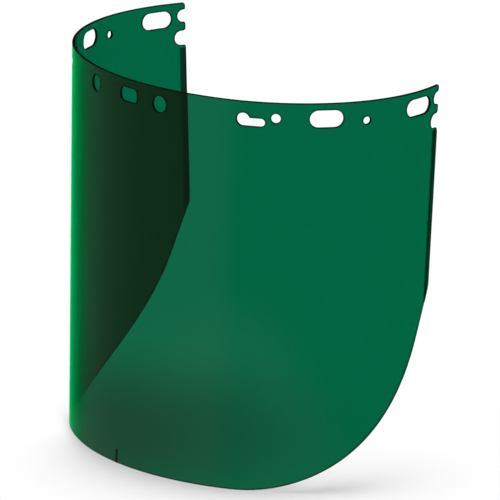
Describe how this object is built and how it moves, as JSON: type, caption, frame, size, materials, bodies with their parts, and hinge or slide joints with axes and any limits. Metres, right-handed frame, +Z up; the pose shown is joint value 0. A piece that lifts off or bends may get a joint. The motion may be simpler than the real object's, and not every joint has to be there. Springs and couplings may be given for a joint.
{
  "type": "face shield window",
  "caption": "Tinted clear plastic face shield window, bent into a U, with a row of slots and holes along its top edge for headgear.",
  "frame": {"origin": "centre of the bounding box in X and Y, at the bottom edge that the sheet stands on", "axes": "+Z up, the convex front faces -Y, the side wings run back towards +Y, +X is the wearer's left"},
  "size_m": [0.2292, 0.1298, 0.2174],
  "materials": {
    "tinted_window": "clear dark green, polished"
  },
  "bodies": {
    "root": {"visor_window": "tinted_window"}
  },
  "joints": []
}
